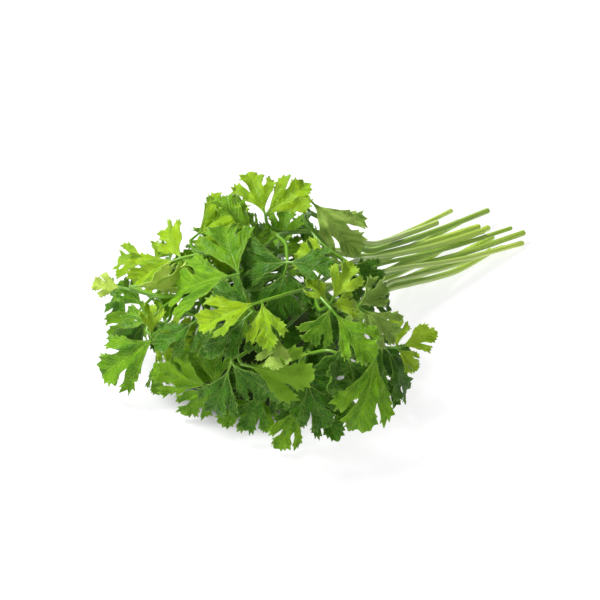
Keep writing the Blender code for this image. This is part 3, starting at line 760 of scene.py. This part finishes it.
def fine_leaflet(leaflet):
    """A leaflet's thin closed blade: points, faces, and rib, flat and marks for each face's corners."""
    rim, tips = toothed_outline(leaflet)
    ribs = rib_lines(leaflet, tips)
    main = [n for n, rib in enumerate(ribs) if rib[2] in (MIDDLE_RIB, LOBE_RIB[1])]
    flat, triangles = blade_mesh(rim, [ribs[n] for n in main])

    across, along, widths = rib_distances(flat, ribs)
    near, from_main = np.abs(across).min(axis=0), np.abs(across[main]).min(axis=0)
    to_rim = np.linalg.norm(flat[:, None] - rim[None], axis=2)
    edge, place = to_rim.min(axis=1), to_rim.argmin(axis=1)
    round_rim = np.concatenate([[0], np.cumsum(np.linalg.norm(np.diff(rim, axis=0), axis=1))])
    draw = np.random.default_rng((*leaflet.outline_seed, 2))
    phases, shade = draw.uniform(0, 2 * np.pi, 3), draw.uniform(0, 1)
    curls = CURL * draw.uniform(*CURL_RANGE, 3)
    relief = blade_relief(leaflet, flat, near, from_main, edge, round_rim[place], phases, curls)
    middle = bent(flat, leaflet, relief)
    middle[:, 2] = np.maximum(middle[:, 2], THIN / 2)
    points, faces, wall_count = thin_blade(middle, triangles)

    count = len(middle)
    centres = flat[faces % count].mean(axis=1)
    near_rib = np.abs(rib_distances(centres, ribs)[0]).argmin(axis=0)
    corner, chosen = (faces % count).ravel(), np.repeat(near_rib, 3)
    rib = np.column_stack([across[chosen, corner], along[chosen, corner]])
    under = np.repeat([0.0] * len(triangles) + [1.0] * len(triangles) + [0.5] * wall_count, 3)
    shades = np.full(len(corner), shade)
    marks = np.column_stack([widths[chosen, corner], edge[corner] / EDGE_UNIT, shades, under])
    shift = FLAT_SHIFT * draw.uniform(0, 1, 2)
    return points, faces, rib, flat[corner] + shift, marks


def fine_tube(path, radii, sides, shade, share):
    """A closed round tube with shallow grooves, pressed level where it rests, as fine_leaflet gives."""
    run = np.gradient(path, axis=0)
    run /= np.linalg.norm(run, axis=1, keepdims=True)
    length = np.concatenate([[0], np.cumsum(np.linalg.norm(np.diff(path, axis=0), axis=1))])
    turns = 2 * np.pi * np.arange(sides) / sides
    points = []
    side = np.cross(run[0], (0.0, 0.0, 1.0))
    side = unit(side) if np.linalg.norm(side) > UPRIGHT else np.array([1.0, 0.0, 0.0])
    for centre, along, radius in zip(path, run, radii):
        side = unit(side - (side @ along) * along)
        rise = np.cross(side, along)
        swell = radius * (1 + GROOVE_DEPTH * np.cos(GROOVES * turns + shade * GROOVE_TURN))
        ring = np.cos(turns)[:, None] * side + np.sin(turns)[:, None] * rise
        points.append(centre + swell[:, None] * ring)
    points = np.vstack(points)
    points[:, 2] = np.maximum(points[:, 2], 0.0)
    faces, rib, marks = [], [], []
    shares = np.interp(length, (0, length[-1]), share)
    around = 2 * np.pi * radii.mean() / sides
    for i in range(len(path) - 1):
        for k in range(sides):
            a, b = i * sides + k, i * sides + (k + 1) % sides
            faces.append((a, b, b + sides, a + sides))
            rib += [(k * around, length[i]), ((k + 1) * around, length[i])]
            rib += [((k + 1) * around, length[i + 1]), (k * around, length[i + 1])]
            marks += [(0, 0, shade, shares[i])] * 2 + [(0, 0, shade, shares[i + 1])] * 2
    last = (len(path) - 1) * sides
    for face, end in ((tuple(range(sides))[::-1], 0), (tuple(range(last, last + sides)), -1)):
        faces.append(face)
        rib += [(np.cos(t) * radii[end], np.sin(t) * radii[end]) for t in turns]
        marks += [(0, 1.0, shade, shares[end])] * sides
    rib = np.array(rib, float)
    return points, turned_out(points, faces), rib, rib, np.array(marks, float)


def turned_out(points, faces):
    """A tube's faces, all turned round if its first one faces the tube's middle."""
    a, b, c = (points[faces[0][n]] for n in range(3))
    sides = faces[0][2] - faces[0][1]
    centre = points[:sides].mean(axis=0)
    outward = np.cross(b - a, c - a) @ (a - centre)
    return faces if outward > 0 else [face[::-1] for face in faces]


def plain_nodes(material):
    """An empty node tree for a material."""
    material.use_nodes = True
    tree = material.node_tree
    tree.nodes.clear()
    return tree


class Wires:
    """Short names for the shader nodes that the materials are made of."""

    def __init__(self, tree):
        self.tree = tree

    def node(self, kind, settings=(), **inputs):
        """A new shader node with its settings, and with its inputs set or wired."""
        made = self.tree.nodes.new("ShaderNode" + kind)
        for name, value in dict(settings).items():
            setattr(made, name, value)
        for name, value in inputs.items():
            self.put(made.inputs[name.replace("_", " ")], value)
        return made

    def put(self, socket, value):
        if isinstance(value, bpy.types.NodeSocket):
            self.tree.links.new(value, socket)
        else:
            socket.default_value = value

    def maths(self, operation, *values):
        made = self.node("Math", {"operation": operation})
        for socket, value in zip(made.inputs, values):
            self.put(socket, value)
        return made.outputs[0]

    def times(self, value, share):
        return self.maths("MULTIPLY", value, share)

    def ramp(self, value, low, high, start=0.0, end=1.0):
        """A smooth step from start to end as the value goes from low to high."""
        made = self.node("MapRange", {"interpolation_type": "SMOOTHSTEP"})
        names = ("Value", "From Min", "From Max", "To Min", "To Max")
        for name, each in zip(names, (value, low, high, start, end)):
            self.put(made.inputs[name], each)
        return made.outputs[0]

    def mix(self, share, first, second):
        """The first colour at share 0 and the second at share 1."""
        made = self.node("Mix", {"data_type": "RGBA"})
        self.put(made.inputs[0], share)
        self.put(made.inputs[6], first)
        self.put(made.inputs[7], second)
        return made.outputs[2]

    def noise(self, vector, scale, detail=2.0):
        return self.node("TexNoise", Vector=vector, Scale=scale, Detail=detail).outputs[0]

    def corners(self):
        """What Shape.add keeps for each corner: rib, and the four marks."""
        marks = self.node("VertexColor", {"layer_name": "marks"})
        parts = self.node("SeparateColor", Color=marks.outputs[0])
        return self.node("UVMap", {"uv_map": "rib"}).outputs[0], *parts.outputs[:3], marks.outputs[1]


# Leaf tones as linear red, green and blue: the upper face's shaded and lit greens, which are painted shade
# and painted light, and the underside
LEAF_TONES = {
    "lime": ((0.13, 0.34, 0.001), (0.48, 0.72, 0.003), (0.34, 0.58, 0.03)),
    "spring": ((0.26, 0.50, 0.005), (0.56, 0.80, 0.03), (0.42, 0.64, 0.05)),
    "fresh": ((0.035, 0.18, 0.001), (0.27, 0.57, 0.003), (0.22, 0.44, 0.02)),
    "deep": ((0.006, 0.07, 0.001), (0.07, 0.28, 0.002), (0.13, 0.32, 0.015)),
    # The next tone's paler, greyer greens are a painted sheen, the sky's reflection on a leaf
    "frosted": ((0.17, 0.36, 0.03), (0.60, 0.82, 0.18), (0.44, 0.64, 0.11)),
    "pale": ((0.46, 0.66, 0.05), (0.74, 0.88, 0.20), (0.68, 0.82, 0.20)),
}

# The veins' own colour and its share beside the tone's, the two faces' roughness, and the light through
# a blade: its colour, how much of that colour it takes, and its share of all light
VEIN_COLOUR = (0.50, 0.68, 0.16)
VEIN_SHARE = 0.6
LEAF_GLOSS = 0.30
UNDER_GLOSS = 0.7
LEAF_SPECULAR = 0.18
GLOW_COLOUR = (0.42, 0.70, 0.01, 1.0)
GLOW_SHARE = 0.5
SEE_THROUGH = 0.3

# Veins. Each pair gives where one starts to show and shows in full: ribs in half widths, side veins
# in millimetres off their own line and off their rib. Then the fine network, and the share of vein
# colour on each face
RIB_EDGE = (1.5, 0.5)
SIDE_VEIN_STEP = 2.4
SIDE_VEIN_LEAN = 0.9
SIDE_VEIN_EDGE = (0.26, 0.06)
SIDE_VEIN_REACH = (5.0, 2.0)
SIDE_VEIN_MOST = 0.9
SIDE_VEIN_SHARE = 0.55
NET_SCALE = 0.9
NET_EDGE = (0.12, 0.02)
NET_MOST = 0.35
VEINS_ABOVE = 0.75
VEINS_BELOW = 0.5

# How far the upper face goes from its shaded green to its lit one, a painted light and shade: the scale and
# edges of large random patches, those of the streaks beside the ribs (across, along and by shade), which
# paint the shading of pleats, what each adds, and what is taken off
PATCH_SCALE = 0.09
PATCH_EDGE = (0.35, 0.65)
STREAK_SCALES = (0.7, 0.05, 11.0)
STREAK_EDGE = (0.36, 0.64)
STREAK_DETAIL = 3.0
PATCH_LIGHT = 0.35
SHADE_LIGHT = 0.25
STREAK_LIGHT = 0.5
DARKER = 0.08

# The paler rim, a painted highlight along the edge: its width in those units and its share, and where the
# upper face gives way to the underside
RIM_HIGHLIGHT_WIDTH = 0.05
RIM_HIGHLIGHT_SHARE = 0.3
UNDER_EDGE = (0.4, 0.6)

# A blade's bump: the grain's scale, what grain and streaks add to the veins, strength, depth in metres
GRAIN_SCALE = 0.5
GRAIN = 0.8
STREAK_GRAIN = 0.6
LEAF_BUMP = 0.75
LEAF_BUMP_DEPTH = 0.0005

# The tone of each spray of a sprig, in the order of the layout
SPRAY_TONES = {
    "sprig_top": "lime fresh deep",
    "sprig_arch": "frosted deep deep fresh deep",
    "sprig_crest": "lime fresh lime",
    "sprig_left": "lime fresh fresh fresh",
    "sprig_far_left": "pale pale spring fresh",
    "sprig_front_left": "deep fresh deep",
    "sprig_front": "fresh frosted deep",
    "sprig_front_right": "deep fresh deep deep",
    "sprig_shoulder": "fresh spring lime deep",
    "sprig_right": "fresh frosted spring deep",
    "sprig_low_right": "deep spring deep deep",
    "sprig_nape": "fresh deep fresh",
    "sprig_back": "lime fresh fresh",
    "sprig_back_left": "deep deep fresh deep",
    "sprig_low_left": "fresh fresh deep fresh",
    "sprig_low_front": "deep fresh deep",
    "sprig_low_side": "deep deep deep",
}

# Stems: the colours of crown, neck and cut end, where along the stem they blend, the colours of streaks
# and cut face, the streaks' scales, edges and share, the shades that are darker all over, and the bump
STEM_COLOURS = ((0.11, 0.28, 0.010), (0.46, 0.62, 0.17), (0.58, 0.76, 0.10))
NECK_BLEND = (0.12, 0.5)
END_BLEND = (0.55, 1.0)
STREAK_COLOUR = (0.19, 0.38, 0.02, 1.0)
CUT_COLOUR = (0.62, 0.66, 0.36, 1.0)
STEM_STREAK_SCALES = (2.2, 0.06, 1.0)
STEM_STREAK_EDGE = (0.45, 0.7)
STEM_STREAK_SHARE = 0.6
DARK_SHADES = (0.5, 1.0)
STEM_GLOSS = 0.3
STEM_BUMP = 0.5
STEM_BUMP_DEPTH = 0.0002


def solid(colour):
    """A colour with full opacity, as the shader's sockets take it."""
    return (*colour, 1.0)


def leaf_veins(w, across, along, width, flat):
    """How much of a vein each spot is: ribs, side veins that lean off them, and a fine network."""
    ribs = w.ramp(across, *(w.times(width, each) for each in RIB_EDGE))
    leaning = w.maths("SUBTRACT", along, w.times(across, SIDE_VEIN_LEAN))
    lines = w.maths("FRACT", w.maths("DIVIDE", leaning, SIDE_VEIN_STEP))
    off_line = w.maths("ABSOLUTE", w.maths("SUBTRACT", lines, 0.5))
    off_line = w.times(off_line, SIDE_VEIN_STEP)
    near_rib = w.ramp(across, *SIDE_VEIN_REACH, 0.0, SIDE_VEIN_MOST)
    side_veins = w.times(w.ramp(off_line, *SIDE_VEIN_EDGE), near_rib)
    side_veins = w.times(side_veins, SIDE_VEIN_SHARE)
    cells = w.node("TexVoronoi", {"feature": "DISTANCE_TO_EDGE"}, Vector=flat, Scale=NET_SCALE)
    net = w.ramp(cells.outputs[0], *NET_EDGE, 0.0, NET_MOST)
    return w.maths("MAXIMUM", ribs, w.maths("MAXIMUM", side_veins, net))


def leaf_material(tone):
    """Leaf blades: lit and shaded greens that are painted light and shade, a paler rim that is a painted
    highlight, paler undersides, ribs, side veins and a fine network.
    """
    material = bpy.data.materials.new(f"leaf_{tone}")
    w = Wires(plain_nodes(material))
    shaded, lit, under_colour = (solid(c) for c in LEAF_TONES[tone])
    pairs = zip(VEIN_COLOUR, LEAF_TONES[tone][1])
    vein_colour = solid([VEIN_SHARE * v + (1 - VEIN_SHARE) * c for v, c in pairs])
    rib, width, edge, shade, under = w.corners()
    flat = w.node("UVMap", {"uv_map": "flat"}).outputs[0]
    split = w.node("SeparateXYZ", Vector=rib)
    across = w.maths("ABSOLUTE", split.outputs[0])
    along = split.outputs[1]
    veins = leaf_veins(w, across, along, width, flat)

    patches = w.ramp(w.noise(flat, PATCH_SCALE), *PATCH_EDGE)
    place = w.node("CombineXYZ")
    for socket, value, scale in zip(place.inputs, (split.outputs[0], along, shade), STREAK_SCALES):
        w.put(socket, w.times(value, scale))
    streaks = w.ramp(w.noise(place.outputs[0], 1.0, STREAK_DETAIL), *STREAK_EDGE)
    painted_lighting = w.maths("ADD", w.times(patches, PATCH_LIGHT), w.times(shade, SHADE_LIGHT))
    painted_lighting = w.maths("ADD", painted_lighting, w.times(streaks, STREAK_LIGHT))
    painted_lighting = w.maths("SUBTRACT", painted_lighting, DARKER)
    # Painted light and shade: the upper face is mixed from its shaded green to its lit one
    upper = w.mix(painted_lighting, shaded, lit)
    upper = w.mix(w.times(veins, VEINS_ABOVE), upper, vein_colour)
    lower = w.mix(w.times(veins, VEINS_BELOW), under_colour, vein_colour)
    colour = w.mix(under, upper, lower)
    # Painted highlight: the rim turns towards the pale vein colour
    colour = w.mix(w.ramp(edge, RIM_HIGHLIGHT_WIDTH, 0.0, 0.0, RIM_HIGHLIGHT_SHARE), colour, vein_colour)

    height = w.times(veins, w.ramp(under, *UNDER_EDGE, -1.0, 1.0))
    height = w.maths("ADD", height, w.times(w.noise(flat, GRAIN_SCALE), GRAIN))
    height = w.maths("ADD", height, w.times(streaks, STREAK_GRAIN))
    bump = w.node("Bump", Strength=LEAF_BUMP, Distance=LEAF_BUMP_DEPTH, Height=height).outputs[0]
    gloss = w.ramp(under, 0.0, 1.0, LEAF_GLOSS, UNDER_GLOSS)
    blade = w.node("BsdfPrincipled", Base_Color=colour, Roughness=gloss, Normal=bump)
    w.put(blade.inputs["Specular IOR Level"], LEAF_SPECULAR)
    through_colour = w.mix(GLOW_SHARE, colour, GLOW_COLOUR)
    through = w.node("BsdfTranslucent", Color=through_colour, Normal=bump)
    both = w.node("MixShader")
    for socket, value in zip(both.inputs, (SEE_THROUGH, blade.outputs[0], through.outputs[0])):
        w.put(socket, value)
    w.node("OutputMaterial", Surface=both.outputs[0])
    return material


def stem_material():
    """Stems: a change of green along their length, fine streaks, and a paler cut face."""
    material = bpy.data.materials.new("stems")
    w = Wires(plain_nodes(material))
    start, neck, end = (solid(c) for c in STEM_COLOURS)
    rib, _, cut, shade, share = w.corners()
    stretch = w.node("Mapping", Vector=rib, Scale=STEM_STREAK_SCALES).outputs[0]
    streaks = w.noise(stretch, 1.0, STREAK_DETAIL)
    colour = w.mix(w.ramp(share, *NECK_BLEND), start, neck)
    colour = w.mix(w.ramp(share, *END_BLEND), colour, end)
    streaked = w.ramp(streaks, *STEM_STREAK_EDGE, 0.0, STEM_STREAK_SHARE)
    colour = w.mix(streaked, colour, STREAK_COLOUR)
    colour = w.mix(w.ramp(shade, *DARK_SHADES, 0.0, STEM_STREAK_SHARE), colour, STREAK_COLOUR)
    colour = w.mix(cut, colour, CUT_COLOUR)
    bump = w.node("Bump", Strength=STEM_BUMP, Distance=STEM_BUMP_DEPTH, Height=streaks).outputs[0]
    stem = w.node("BsdfPrincipled", Base_Color=colour, Roughness=STEM_GLOSS, Normal=bump)
    w.node("OutputMaterial", Surface=stem.outputs[0])
    return material


def dressed_sprig(i, curves, radii, stems, leaves):
    """One leafy stem with its finer stem, stalks and leaflets, in place of its CAD node."""
    sprig, shape = SPRIGS[i], Shape()
    spray_tones = SPRAY_TONES[sprig.name].split()
    tones = sorted(set(spray_tones))
    curve, radius = curves[i], radii[i]
    draw = np.random.default_rng((SEED, i, STEM_DRAWS))
    length = np.linalg.norm(np.diff(curve, axis=0), axis=1).sum()
    count = int(length / FINE_STEM_STEP)
    path = smooth_curve(curve, count)
    thick = np.interp(np.linspace(0, len(curve) - 1, count), np.arange(len(curve)), radius)
    shape.add(STEM_SLOT, *fine_tube(path, thick, FINE_STEM_SIDES, draw.uniform(0, 1), STEM_SHARE))
    for j, spray in enumerate(sprig.sprays):
        tone = STEM_SLOT + 1 + tones.index(spray_tones[j])
        way = smooth_curve(stalk_path(curve, spray), FINE_STALK_RINGS)
        taper = np.linspace(STALK_RADIUS, STALK_END_RADIUS, len(way))
        shade = draw.uniform(0, 1)
        shape.add(STEM_SLOT, *fine_tube(way, taper, FINE_STALK_SIDES, shade, STALK_SHARE))
        for k in range(len(spray.spread)):
            leaflet = laid_leaflet(i, j, k)
            joint = np.array(spray.joint, float)
            onto = leaflet.origin + LEAFLET_STALK_REACH * leaflet.length * leaflet.frame[:, 1]
            way = smooth_curve([joint, leaflet.origin, onto], LEAFLET_STALK_RINGS)
            taper = np.linspace(*LEAFLET_STALK, LEAFLET_STALK_RINGS)
            short = fine_tube(way, taper, LEAFLET_STALK_SIDES, shade, LEAFLET_STALK_SHARE)
            shape.add(STEM_SLOT, *short)
            shape.add(tone, *fine_leaflet(leaflet))
    piece = shape.made(f"leafy_{sprig.name}", [stems] + [leaves[tone] for tone in tones])
    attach(piece, "root")
    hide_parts(sprig.name)


# The photo's view: the camera's direction, distance in metres, the point of the layout that it looks
# at, in millimetres, and the lens
CAMERA_AZIMUTH = -44.0
CAMERA_ELEVATION = 35.0
CAMERA_DISTANCE = 0.670
CAMERA_TARGET = (-15.4, 39.3, 0.0)
CAMERA_LENS = 62.8
CAMERA_SENSOR = 36.0


def make_camera():
    """The camera at the photo's angle. It becomes the scene's camera."""
    a, e = np.radians(CAMERA_AZIMUTH), np.radians(CAMERA_ELEVATION)
    back = Vector((np.sin(a) * np.cos(e), -np.cos(a) * np.cos(e), np.sin(e)))
    camera = bpy.data.objects.new("camera", bpy.data.cameras.new("camera"))
    camera.data.lens = CAMERA_LENS
    camera.data.sensor_width = CAMERA_SENSOR
    camera.location = Vector((np.array(CAMERA_TARGET) - MIDDLE) * MM) + back * CAMERA_DISTANCE
    camera.rotation_mode = "QUATERNION"
    camera.rotation_quaternion = (-back).to_track_quat("-Z", "Y")
    bpy.context.scene.collection.objects.link(camera)
    bpy.context.scene.camera = camera


# A pale floor that glows, so that shadows on it stay faint as in the photo: its half size and how far
# it lies below the bunch, in metres. Two round patches under the leaves are dark, as the inside of a
# closed mound is: their middles and size, and where glow and dark start and are full, as its shares
# The glow is a painted light that keeps the floor's shadows faint. The dark patches, where the glow also
# fades out, are a painted shadow under the leaves
FLOOR_REACH = 3.0
FLOOR_DROP = 0.0002
FLOOR_ROUGHNESS = 0.9
FLOOR_COLOUR = (0.28, 0.28, 0.28, 1.0)
PAINTED_SHADOW_COLOUR = (0.05, 0.07, 0.03, 1.0)
FLOOR_GLOW = 0.83
SHADED_MIDDLES = ((-0.044, 0.022, 0.0), (-0.074, 0.006, 0.0))
SHADED_SIZE = 0.078
GLOW_EDGE = (0.5, 0.85)
DARK_EDGE = (0.7, 0.4)
WHITE = (1.0, 1.0, 1.0, 1.0)


def make_floor():
    """The floor that the bunch lies on. It belongs to the stage and not to the part."""
    mesh = bpy.data.meshes.new("floor")
    corners = [(FLOOR_REACH * x, FLOOR_REACH * y, 0) for x, y in ((-1, -1), (1, -1), (1, 1), (-1, 1))]
    mesh.from_pydata(corners, [], [(0, 1, 2, 3)])
    floor = bpy.data.objects.new("floor", mesh)
    floor.location.z = -FLOOR_DROP
    material = bpy.data.materials.new("floor")
    w = Wires(plain_nodes(material))
    place = w.node("TexCoord").outputs["Object"]
    distances = []
    for middle in SHADED_MIDDLES:
        away = w.node("VectorMath", {"operation": "DISTANCE"})
        w.put(away.inputs[0], place)
        w.put(away.inputs[1], middle)
        distances.append(away.outputs["Value"])
    nearest = w.maths("MINIMUM", *distances)
    # Painted shadow: near the patches under the leaves the glow fades out and the floor turns dark
    glow = w.ramp(nearest, *(share * SHADED_SIZE for share in GLOW_EDGE), 0.0, FLOOR_GLOW)
    painted_shadow = w.ramp(nearest, *(share * SHADED_SIZE for share in DARK_EDGE))
    colour = w.mix(painted_shadow, FLOOR_COLOUR, PAINTED_SHADOW_COLOUR)
    surface = w.node("BsdfPrincipled", Base_Color=colour, Roughness=FLOOR_ROUGHNESS)
    w.put(surface.inputs["Specular IOR Level"], 0.0)
    w.put(surface.inputs["Emission Color"], WHITE)
    w.put(surface.inputs["Emission Strength"], glow)
    w.node("OutputMaterial", Surface=surface.outputs[0])
    mesh.materials.append(material)
    bpy.context.scene.collection.objects.link(floor)


# Light: the surroundings' strength, and each lamp's place, aim and size in metres and power in watts
WORLD_STRENGTH = 0.26
KEY_LIGHT = ((-0.35, 0.6, 1.0), (-0.05, 0.0, 0.03), 0.45, 19.0)
FILL_LIGHT = ((-0.95, -0.35, 0.55), (-0.06, 0.0, 0.04), 0.4, 4.0)


def area_light(name, place, aim, size, power):
    """A soft round lamp."""
    lamp = bpy.data.lights.new(name, "AREA")
    lamp.shape = "DISK"
    lamp.size = size
    lamp.energy = power
    light = bpy.data.objects.new(name, lamp)
    light.location = place
    light.rotation_mode = "QUATERNION"
    light.rotation_quaternion = (Vector(aim) - Vector(place)).to_track_quat("-Z", "Y")
    bpy.context.scene.collection.objects.link(light)


def make_light():
    """White surroundings, a high key light from the photo's left, and a weak one from its front left."""
    world = bpy.data.worlds.new("studio")
    world.use_nodes = True
    background = world.node_tree.nodes["Background"]
    background.inputs["Color"].default_value = WHITE
    background.inputs["Strength"].default_value = WORLD_STRENGTH
    bpy.context.scene.world = world
    area_light("key", *KEY_LIGHT)
    area_light("fill", *FILL_LIGHT)
    bpy.context.scene.view_settings.view_transform = "Standard"


def main():
    curves, radii = settle_stems()
    stems = stem_material()
    leaves = {tone: leaf_material(tone) for tone in LEAF_TONES}
    for i in range(len(SPRIGS)):
        dressed_sprig(i, curves, radii, stems, leaves)
    make_floor()
    make_light()
    make_camera()


main()
